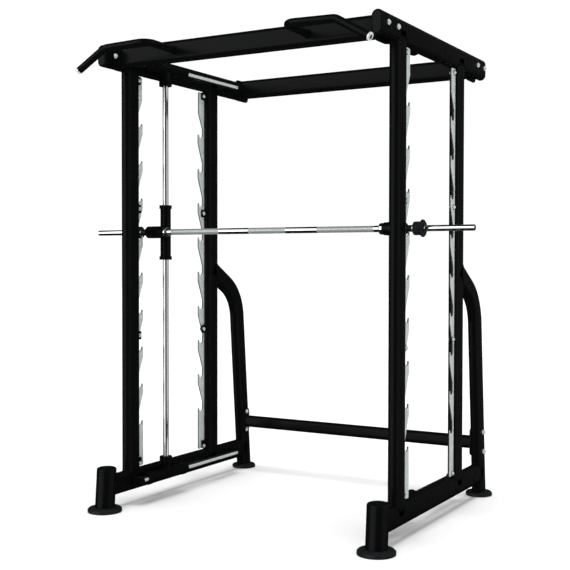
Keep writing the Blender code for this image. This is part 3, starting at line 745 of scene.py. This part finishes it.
def cross_beam(node, width, height, plate_corner):
    """Tube with a welded plate on each end."""
    lo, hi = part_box(node)
    tube_y, tube_z = (lo.y + hi.y) / 2, beam_z(node)
    plate_t = 0.008
    ends = (lo.x + plate_t / 2, hi.x - plate_t / 2)
    outline = oval(width, height)
    parts = [sweep([(outline, (x, tube_y, tube_z), Y, Z) for x in ends])]
    for x0, x1 in ((lo.x, lo.x + plate_t), (hi.x - plate_t, hi.x)):
        parts.append(block((x0, lo.y, lo.z), (x1, hi.y, hi.z), 0.0010, X, plate_corner))
    piece(f"{node}_tube", merged(*parts), "frame", "frame", (node,))
    welds = []
    for x in (lo.x + plate_t, hi.x - plate_t):
        top = hi.z - WELD_BULGE
        path = [Vector((x, tube_y + u, min(tube_z + v, top))) for u, v in oval(width, height)]
        welds.append(bead(path, X))
    piece(f"{node}_welds", merged(*welds), "weld", "frame")


def beam_z(node):
    """Height of a beam's centre: its end plates reach further down than up."""
    lo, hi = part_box(node)
    if node == "lower_beam":
        return (lo.z + hi.z) / 2 - 0.0035
    return hi.z - TUBE_H / 2


def beams():
    for node in ("front_beam", "rear_beam"):
        cross_beam(node, TUBE_W, TUBE_H, 0.022)
    cross_beam("lower_beam", 0.040, 0.0645, 0.020)
    lo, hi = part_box("lower_beam")
    y = (lo.y + hi.y) / 2
    for side, tag in SIDES:
        face = side * (max(abs(lo.x), abs(hi.x)) - 0.008)
        heads = [dome_bolt((face, y, z), X * -side) for z in (lo.z + 0.0195, hi.z - 0.0185)]
        outside = side * (abs(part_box(f"upright_front_{tag}")[0 if side < 0 else 1].x))
        for z in (lo.z + 0.0195, hi.z - 0.0185):
            heads.append(hex_nut((outside, leg_line_y(z) + 0.010, z), X * side, height=0.0095))
        piece(f"lower_beam_bolts_{tag}", merged(*heads), "bolt", "frame")


# ---------------------------------------------------------------- pull-up grips
GRIP_R, GRIP_BEND_R = 0.0165, 0.050
GRIP_X, GRIP_ELBOW_X = 0.340, 0.572
GRIP_Y, GRIP_END_X, GRIP_END_Z = -0.6944, 0.716, 2.019


def grip_points(side):
    """Centre line of a grip: out of the beam, along the front, then down."""
    beam_lo, beam_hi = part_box("front_beam")
    beam_y, z = (beam_lo.y + beam_hi.y) / 2, beam_z("front_beam")
    corners = [Vector((side * GRIP_X, beam_y - TUBE_W / 2 + 0.004, z)),
               Vector((side * GRIP_X, GRIP_Y, z + 0.004)),
               Vector((side * GRIP_ELBOW_X, GRIP_Y, z - 0.002)),
               Vector((side * GRIP_END_X, GRIP_Y, GRIP_END_Z))]
    points = [corners[0]]
    for before, corner, after in zip(corners, corners[1:], corners[2:]):
        into, out = (corner - before).normalized(), (after - corner).normalized()
        half = into.angle(out) / 2
        start = corner - into * GRIP_BEND_R * math.tan(half)
        centre = corner + (out - into).normalized() * (GRIP_BEND_R / math.cos(half))
        axis = into.cross(out).normalized()
        steps = max(6, round(math.degrees(2 * half) / 4))
        for k in range(steps + 1):
            turn = Matrix.Rotation(2 * half * k / steps, 3, axis)
            points.append(centre + turn @ (start - centre))
    points.append(corners[-1])
    return points


def carried_tube(points, radius, steps=40):
    """Round tube whose section is carried along a bent line without twist."""
    stations = []
    heading = (points[1] - points[0]).normalized()
    a, _ = across(heading)
    last = len(points) - 1
    for i, p in enumerate(points):
        ahead = points[min(i + 1, last)] - points[i] if i < last else Vector()
        behind = points[i] - points[i - 1] if i else Vector()
        t = (ahead.normalized() + behind.normalized()).normalized()
        a = (heading.rotation_difference(t) @ a).normalized()
        heading = t
        stations.append((circle(radius, steps), p, a, t.cross(a).normalized()))
    return sweep(stations)


def grips():
    for side, tag in SIDES:
        points = grip_points(side)
        piece(f"pullup_grip_tube_{tag}", carried_tube(points, GRIP_R), "frame", "frame",
              (f"pullup_grip_{tag}",))
        path = [points[0] + X * u + Z * v for u, v in circle(GRIP_R + 0.0005, 64)]
        foot = Vector((0, -0.004, 0))
        piece(f"pullup_grip_weld_{tag}", bead([p + foot for p in path], Y), "weld", "frame")
        down = (points[-1] - points[-2]).normalized()
        rim = turned(fillet([(0.0, GRIP_R - 0.002), (0.0004, GRIP_R + 0.0004),
                             (0.0070, GRIP_R + 0.0004), (0.0116, GRIP_R - 0.0025),
                             (0.0116, GRIP_R - 0.0060), (0.0080, GRIP_R - 0.0066),
                             (0.0080, 0.001)], 0.0014), points[-1], down)
        piece(f"pullup_grip_plug_{tag}", rim, "bolt", "frame", (f"grip_cap_{tag}",))
        core = turned(fillet([(0.0078, GRIP_R - 0.0075), (0.0088, GRIP_R - 0.0080),
                              (0.0092, 0.001)], 0.0006), points[-1], down)
        piece(f"pullup_grip_core_{tag}", core, "cap", "frame")


# ---------------------------------------------------------------- hook racks
def rack_outline(z0, z1):
    """(depth, z) points of a rack plate, going up its toothed edge."""
    clear = 0.0003
    inner = TIP_DEPTH - PRONG_T
    mouth_r = (inner - ROOT_DEPTH) / 2
    points = [(clear, z0), (TIP_DEPTH - 0.006, z0), (TIP_DEPTH - 0.0018, z0 + 0.0018),
              (TIP_DEPTH, z0 + 0.006)]
    for k in range(HOOKS):
        tip = LOWEST_TIP_Z + HOOK_PITCH * k
        if k:
            points += [(ROOT_DEPTH, tip - HOOK_PITCH + 0.032), (TIP_DEPTH, tip - 0.048)]
        points += [(TIP_DEPTH, tip - 0.003), (TIP_DEPTH - 0.0009, tip - 0.0009),
                   (TIP_DEPTH - 0.003, tip)]
        points += [(inner + 0.0028, tip), (inner + 0.0008, tip - 0.0008)]
        centre = ROOT_DEPTH + mouth_r
        floor = tip - NOTCH_DEPTH
        for i in range(17):
            t = math.pi * i / 16
            z = floor + mouth_r * (1 - math.sin(t))
            points.append((centre + mouth_r * math.cos(t), min(z, tip - 0.0016)))
    top = LOWEST_TIP_Z + HOOK_PITCH * (HOOKS - 1)
    points += [(ROOT_DEPTH, top + 0.032), (TIP_DEPTH - 0.004, top + 0.110),
               (TIP_DEPTH - 0.004, z1 - 0.006), (TIP_DEPTH - 0.0055, z1 - 0.0018),
               (TIP_DEPTH - 0.010, z1), (clear, z1)]
    distinct = [points[0]]
    for p in points[1:]:
        if (Vector(p) - Vector(distinct[-1])).length > 2e-4:
            distinct.append(p)
    return distinct


def racks():
    for side, tag in SIDES:
        for end, s in (("front", 1), ("rear", -1)):
            node = f"rack_{end}_{tag}"
            lo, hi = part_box(node)
            face = lo.y - 0.0003 if end == "front" else hi.y + 0.0003
            outline = rack_outline(lo.z, hi.z)
            bm = bmesh.new()
            loops = [[bm.verts.new((x, face + s * d, z)) for d, z in outline]
                     for x in (lo.x, hi.x)]
            skin(bm, loops)
            for f in bm.faces:
                f.material_index = 0 if len(f.verts) > 4 else 1
            ob = piece(f"{node}_plate", bm, "rack", "frame", (node,), sharp=28)
            ob.data.materials.append(MATERIALS["cut"])
            bevel = ob.modifiers.new("softened edges", "BEVEL")
            bevel.width = 0.0005
            bevel.segments = 2
            bevel.limit_method = "ANGLE"
            bevel.angle_limit = math.radians(60)
            flush, back = sorted((abs(lo.x), abs(hi.x)))
            heads, pads = [], []
            for z in RACK_BOLT_Z:
                y = face + s * RACK_BOLT_OUT
                heads.append(dome_bolt((side * (flush - 0.0003 - TAB_T), y, z), X * -side,
                                       0.0082, 0.0098))
                heads.append(hex_nut((side * back, y, z), X * side, 0.0085, 0.0066, 0.0090))
                pads.append(turned(fillet([(0.0, 0.0116), (0.0010, 0.0124), (0.0010, 0.0085)],
                                          0.0004), (side * back, y, z), X * side, 32))
            piece(f"{node}_bolts", merged(*heads), "bolt", "frame")
            piece(f"{node}_washers", merged(*pads), "cap", "frame")


# ---------------------------------------------------------------- guide rods
def plain_rod(node, axis, finish, body):
    """Ground rod with chamfered ends."""
    lo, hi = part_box(node)
    centre = (lo + hi) / 2
    half = (hi - lo).dot(axis) / 2
    chamfer = 0.0012
    profile = [(-half, ROD_R - chamfer), (-half + chamfer, ROD_R), (half - chamfer, ROD_R),
               (half, ROD_R - chamfer)]
    piece(f"{node}_ground", turned(profile, centre, axis, 64), finish, body, (node,))


def sleeve_profile(half, flange):
    """Bearing housing: a thick flange at each end and a relieved middle."""
    return fillet([(-half, ROD_R + 0.004), (-half, FLANGE_R - 0.0015), (-half + 0.0015, FLANGE_R),
                   (-half + flange * 0.42, FLANGE_R), (-half + flange * 0.42, FLANGE_R - 0.0012),
                   (-half + flange * 0.52, FLANGE_R - 0.0012), (-half + flange * 0.52, FLANGE_R),
                   (-half + flange - 0.002, FLANGE_R), (-half + flange, SLEEVE_R),
                   (half - flange, SLEEVE_R), (half - flange + 0.002, FLANGE_R),
                   (half - flange * 0.52, FLANGE_R), (half - flange * 0.52, FLANGE_R - 0.0012),
                   (half - flange * 0.42, FLANGE_R - 0.0012), (half - flange * 0.42, FLANGE_R),
                   (half - 0.0015, FLANGE_R), (half, FLANGE_R - 0.0015), (half, ROD_R + 0.004)],
                  0.0006, 3)


def housing(half, flange, centre, axis):
    """Bored housing with a recessed seal seat at each mouth."""
    outer = sleeve_profile(half, flange)
    bore, seat, sunk = ROD_R + RUNNING_FIT, ROD_R + 0.0040, 0.0022
    inner = [(half - sunk, seat), (half - sunk, bore), (-half + sunk, bore),
             (-half + sunk, seat)]
    return turned([*outer, *inner], centre, axis, 56, ring=True)


def wipers(half, centre, axis):
    """Rubber wiper rings in the two seal seats."""
    rings = []
    for s in (-1, 1):
        face = s * (half - 0.0004)
        back = s * (half - 0.0021)
        profile = fillet([(back, ROD_R + 0.0038), (face, ROD_R + 0.0038),
                          (face + s * 0.0003, ROD_R + 0.0020), (face, ROD_R + 0.0007),
                          (back, ROD_R + 0.0007)], 0.0003, 2)
        rings.append(turned(profile, centre, axis, 48, ring=True))
    return merged(*rings)


def carriage():
    for side, tag in SIDES:
        plain_rod(f"vertical_rod_{tag}", Z, "chrome_z", "carriage")
        for where, s in (("base", 1), ("top", -1)):
            plain_rod(f"{where}_rod_{tag}", Y, "chrome_y", "frame")
            node = f"tee_block_{where}_{tag}"
            lo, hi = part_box(node)
            rod_lo, rod_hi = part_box(f"{where}_rod_{tag}")
            rod_z = (rod_lo.z + rod_hi.z) / 2
            centre = Vector(((lo.x + hi.x) / 2, (lo.y + hi.y) / 2, rod_z))
            half = (hi.y - lo.y) / 2
            mouth = hi.z if s > 0 else lo.z
            height = abs(mouth - rod_z)
            neck = SLEEVE_R * 0.98
            socket = fillet([(0.0165, neck), (height - SOCKET_H - 0.0012, neck),
                             (height - SOCKET_H, SOCKET_R), (height - 0.0115, SOCKET_R),
                             (height - 0.0115, SOCKET_R - 0.0010),
                             (height - 0.0100, SOCKET_R - 0.0010), (height - 0.0100, SOCKET_R),
                             (height - 0.0012, SOCKET_R), (height, SOCKET_R - 0.0014),
                             (height, ROD_R + 0.0016), (height - 0.0016, ROD_R - 0.0005)],
                            0.0007, 3)
            parts = [housing(half, 0.030, centre, Y), turned(socket, centre, Z * s, 64)]
            piece(f"{node}_body", merged(*parts), "frame", "carriage", (node,))
            piece(f"{node}_wipers", wipers(half, centre, Y), "seal", "carriage")
            path = []
            for u, v in circle(neck + 0.0004, 72):
                lift = math.sqrt(max(SLEEVE_R ** 2 - u * u, 0.0))
                path.append(centre + Vector((u, v, s * lift)))
            piece(f"{node}_weld", bead(path, Z), "weld", "carriage")
            # painted grub screws that lock the vertical rod
            screws = []
            for direction in (X * -side, Y * -1):
                spot = centre + Z * s * (height - 0.0205) + direction * (SOCKET_R - 0.0004)
                screws.append(dome_bolt(spot, direction, 0.0042, 0.0052))
            piece(f"{node}_screws", merged(*screws), "frame", "carriage")


def lift():
    for side, tag in SIDES:
        rod_lo, rod_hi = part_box(f"vertical_rod_{tag}")
        lo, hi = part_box(f"slider_{tag}")
        rod = (rod_lo + rod_hi) / 2
        centre = Vector((rod.x, rod.y, (lo.z + hi.z) / 2))
        bar_lo, bar_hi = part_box("bar")
        bar = (bar_lo + bar_hi) / 2
        half = (hi.z - lo.z) / 2
        x_in, x_out = sorted((abs(lo.x), abs(hi.x)))
        web = block((centre.x - 0.019, bar.y + ROD_R + 0.0025, bar.z - 0.0215),
                    (centre.x + 0.019, rod.y - ROD_R - 0.0025, bar.z + 0.0215), 0.002)
        profile = fillet([(x_in, ROD_R + 0.006), (x_in, BARREL_R - 0.0030),
                          (x_in + 0.0030, BARREL_R - 0.0012), (x_in + 0.0150, BARREL_R - 0.0012),
                          (x_in + 0.0165, BARREL_R), (x_out - 0.0060, BARREL_R),
                          (x_out, BARREL_R - 0.0045), (x_out, ROD_R + 0.004)], 0.0012, 4)
        inner = [(x_out, BAR_R + RUNNING_FIT), (x_in, BAR_R + RUNNING_FIT)]
        barrel = turned([*profile, *inner], (0, bar.y, bar.z), X * side, 64, ring=True)
        parts = [housing(half, 0.018, centre, Z), web, barrel]
        piece(f"slider_{tag}_body", merged(*parts), "frame", "lift", (f"slider_{tag}",))
        piece(f"slider_{tag}_wipers", wipers(half, centre, Z), "seal", "lift")

        # bright bearing ring round the bar, with a dark seal sunk in its face
        ring_lo, ring_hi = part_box(f"bearing_ring_{tag}")
        a, b = sorted((abs(ring_lo.x), abs(ring_hi.x)))
        r = (ring_hi.z - ring_lo.z) / 2
        recess = 0.0195
        profile = fillet([(a + 0.0100, recess), (a + 0.0012, recess + 0.0004),
                          (a, recess + 0.0016), (a + 0.0012, r - 0.0016), (a + 0.0050, r),
                          (b - 0.0020, r), (b, r - 0.0008)], 0.0014, 5)
        inner = [(b, BAR_R + RUNNING_FIT), (a + 0.0100, BAR_R + RUNNING_FIT)]
        shell = turned([*profile, *inner], (0, bar.y, bar.z), X * side, 64, ring=True)
        piece(f"bearing_ring_{tag}_shell", shell, "chrome_x", "lift", (f"bearing_ring_{tag}",))
        sunk = a + 0.0060
        seal = fillet([(a + 0.0098, recess - 0.0001), (sunk, recess - 0.0001),
                       (sunk - 0.0012, recess - 0.0022), (sunk, BAR_R + RUNNING_FIT),
                       (a + 0.0098, BAR_R + RUNNING_FIT)], 0.0006, 3)
        piece(f"bearing_seal_{tag}", turned(seal, (0, bar.y, bar.z), X * side, 56, ring=True),
              "seal", "lift")


def bar_assembly():
    lo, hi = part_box("bar")
    centre = (lo + hi) / 2
    ends = hi.x
    bands = []
    edges = [-BAR_STEP_X, *[x for pair in KNURLS for x in pair], BAR_STEP_X]
    shade = 0.0003
    for x0, x1 in zip(edges[::2], edges[1::2]):
        r = BAR_R
        bands.append(turned(fillet([(x0 - shade, r - 0.0012), (x0 + 0.0004, r),
                                    (x1 - 0.0004, r), (x1 + shade, r - 0.0012)], 0.0003),
                            centre, X, 64))
    for s in (-1, 1):
        bands.append(turned(fillet([(BAR_STEP_X - 0.001, BAR_END_R - 0.001),
                                    (BAR_STEP_X, BAR_END_R), (ends - 0.0022, BAR_END_R),
                                    (ends, BAR_END_R - 0.0022), (ends, 0.002)], 0.0008),
                            centre, X * s, 64))
    piece("bar_smooth", merged(*bands), "chrome_x", "bar_assembly", ("bar",))
    knurls = [knurled(x0, x1, BAR_R - 0.00035, centre) for x0, x1 in KNURLS]
    piece("bar_knurled", merged(*knurls), "knurl", "bar_assembly", sharp=8)

    for side, tag in SIDES:
        lo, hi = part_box(f"stop_washer_{tag}")
        disc_lo, disc_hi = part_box(f"stop_disc_{tag}")
        disc_end = max(abs(disc_lo.x), abs(disc_hi.x))
        a, b = min(abs(lo.x), abs(hi.x)), disc_end - STOP_DISC_T
        r = (hi.z - lo.z) / 2
        bore = BAR_R + 0.0002
        hub = a + 0.0045
        place = (0, centre.y, centre.z)
        flange = fillet([(hub, bore + 0.002), (hub, r - 0.0060), (hub + 0.0022, r - 0.0010),
                         (hub + 0.0040, r), (b - 0.0010, r), (b, r - 0.0010),
                         (b, bore + 0.002)], 0.0012, 4)
        piece(f"stop_flange_{tag}", bored(flange, bore, place, X * side, 64), "stop",
              "bar_assembly", (f"stop_washer_{tag}",))
        nose = fillet([(a, bore + 0.0015), (a + 0.0008, bore + 0.0038), (hub, bore + 0.0042),
                       (hub + 0.0005, bore + 0.0020)], 0.0008, 4)
        piece(f"stop_hub_{tag}", bored(nose, bore, place, X * side, 64, 0.0004), "chrome_x",
              "bar_assembly")
        shaft = [(a - STOP_SLEEVE_L, BAR_R - 0.0004), (a - STOP_SLEEVE_L + 0.0006, STOP_SLEEVE_R),
                 (a - 0.0006, STOP_SLEEVE_R), (a, BAR_R - 0.0004)]
        piece(f"stop_sleeve_{tag}", turned(shaft, place, X * side, 64), "seal",
              "bar_assembly")

        a, b = disc_end - STOP_DISC_T + 0.0002, disc_end
        r = (disc_hi.z - disc_lo.z) / 2
        ribs = 30

        def ribbed(t, here, full=r):
            depth = 0.0006 * max(0.0, (here - full * 0.86) / (full * 0.14))
            return here - depth * (0.5 - 0.5 * math.cos(ribs * t)) ** 0.6

        profile = fillet([(a, bore + 0.003), (a, r - 0.0045), (a + 0.0042, r), (b - 0.0050, r),
                          (b - 0.0006, r - 0.0045), (b - 0.0006, bore + 0.0060),
                          (b, bore + 0.0050), (b, bore + 0.0020)], 0.0030, 6)
        piece(f"stop_disc_{tag}_ribbed",
              bored(profile, bore, (0, centre.y, centre.z), X * side, 4 * ribs, ribs=ribbed),
              "stop", "bar_assembly", (f"stop_disc_{tag}",), sharp=40)


# ---------------------------------------------------------------- stage
def floor():
    """Seamless pale floor, far larger than the machine."""
    bm = bmesh.new()
    bmesh.ops.create_grid(bm, x_segments=8, y_segments=8, size=30.0)
    mesh = bpy.data.meshes.new("floor")
    bm.to_mesh(mesh)
    bm.free()
    ob = bpy.data.objects.new("floor", mesh)
    bpy.context.collection.objects.link(ob)
    s = Shader("studio_floor").set(Roughness=1.0, Specular_IOR_Level=0.0)
    s.colours(s.noise(0.6, 2), (0.955, 0.955, 0.960), (0.965, 0.965, 0.968))
    mesh.materials.append(s.mat)
    ob.visible_glossy = False


def pulse(tree, value, centre, half, soft):
    """1 within half of the centre, falling to 0 over soft more."""
    away = tree.nodes.new("ShaderNodeMath")
    away.operation = "SUBTRACT"
    away.inputs[1].default_value = centre
    tree.links.new(value, away.inputs[0])
    size = tree.nodes.new("ShaderNodeMath")
    size.operation = "ABSOLUTE"
    tree.links.new(away.outputs[0], size.inputs[0])
    step = tree.nodes.new("ShaderNodeMapRange")
    step.interpolation_type = "SMOOTHSTEP"
    step.inputs["From Min"].default_value = half
    step.inputs["From Max"].default_value = half + soft
    step.inputs["To Min"].default_value = 1.0
    step.inputs["To Max"].default_value = 0.0
    tree.links.new(size.outputs[0], step.inputs["Value"])
    return step.outputs["Result"]


def arithmetic(tree, operation, a, b):
    node = tree.nodes.new("ShaderNodeMath")
    node.operation = operation
    for socket, value in zip(node.inputs, (a, b)):
        if isinstance(value, (int, float)):
            socket.default_value = value
        else:
            tree.links.new(value, socket)
    return node.outputs[0]


# softboxes round the studio: compass direction and half width in degrees, brightness
SOFTBOXES = ((-114, 27, 2.4), (10, 26, 0.80), (66, 26, 0.07))
SOFTBOX_Z, SOFTBOX_HALF_Z, SOFTBOX_EDGE = 0.20, 0.41, 0.07
AMBIENT = 0.60
ROOM = 0.012


def studio():
    """White surround; shiny surfaces see a dark room with tall softboxes."""
    world = bpy.data.worlds.new("studio")
    bpy.context.scene.world = world
    world.use_nodes = True
    tree = world.node_tree
    tree.nodes.clear()
    place = tree.nodes.new("ShaderNodeTexCoord")
    split = tree.nodes.new("ShaderNodeSeparateXYZ")
    tree.links.new(place.outputs["Generated"], split.inputs[0])
    compass = arithmetic(tree, "ARCTAN2", split.outputs["Y"], split.outputs["X"])
    lit = ROOM
    band = pulse(tree, split.outputs["Z"], SOFTBOX_Z, SOFTBOX_HALF_Z, SOFTBOX_EDGE)
    for direction, half, brightness in SOFTBOXES:
        strip = pulse(tree, compass, math.radians(direction), math.radians(half), 0.12)
        shaped = arithmetic(tree, "MULTIPLY", strip, band)
        lit = arithmetic(tree, "ADD", arithmetic(tree, "MULTIPLY", shaped, brightness), lit)
    path = tree.nodes.new("ShaderNodeLightPath")
    reflected = tree.nodes.new("ShaderNodeBackground")
    tree.links.new(lit, reflected.inputs["Strength"])
    ambient = tree.nodes.new("ShaderNodeBackground")
    ambient.inputs["Strength"].default_value = AMBIENT
    white = tree.nodes.new("ShaderNodeBackground")
    white.inputs["Strength"].default_value = 1.05
    for node in (reflected, ambient, white):
        node.inputs["Color"].default_value = (1, 1, 1, 1)
    for_gloss = tree.nodes.new("ShaderNodeMixShader")
    tree.links.new(path.outputs["Is Glossy Ray"], for_gloss.inputs["Fac"])
    tree.links.new(ambient.outputs[0], for_gloss.inputs[1])
    tree.links.new(reflected.outputs[0], for_gloss.inputs[2])
    for_camera = tree.nodes.new("ShaderNodeMixShader")
    tree.links.new(path.outputs["Is Camera Ray"], for_camera.inputs["Fac"])
    tree.links.new(for_gloss.outputs[0], for_camera.inputs[1])
    tree.links.new(white.outputs[0], for_camera.inputs[2])
    output = tree.nodes.new("ShaderNodeOutputWorld")
    tree.links.new(for_camera.outputs[0], output.inputs["Surface"])

    lamp = bpy.data.lights.new("overhead", "SUN")
    lamp.energy = 2.2
    lamp.angle = math.radians(36)
    overhead = bpy.data.objects.new("overhead", lamp)
    overhead.rotation_euler = (math.radians(4), math.radians(3), 0)
    overhead.visible_glossy = False
    bpy.context.collection.objects.link(overhead)
    bpy.context.scene.view_settings.view_transform = "Standard"


CAMERA_PLACE = (2.4075, -4.2577, 1.1672)
CAMERA_YAW, CAMERA_DOWN, CAMERA_ROLL = 30.013, 1.3895, 0.085
CAMERA_LENS = 65.04


def camera():
    data = bpy.data.cameras.new("camera")
    data.lens = CAMERA_LENS
    data.sensor_width = 36.0
    ob = bpy.data.objects.new("camera", data)
    ob.location = CAMERA_PLACE
    ob.rotation_euler = (math.radians(90 - CAMERA_DOWN), math.radians(-CAMERA_ROLL),
                         math.radians(CAMERA_YAW))
    bpy.context.collection.objects.link(ob)
    bpy.context.scene.camera = ob


for side, tag in SIDES:
    side_rails(side, tag)
    uprights_and_leg(side, tag)
    feet(side, tag)
beams()
grips()
racks()
carriage()
lift()
bar_assembly()
floor()
studio()
camera()
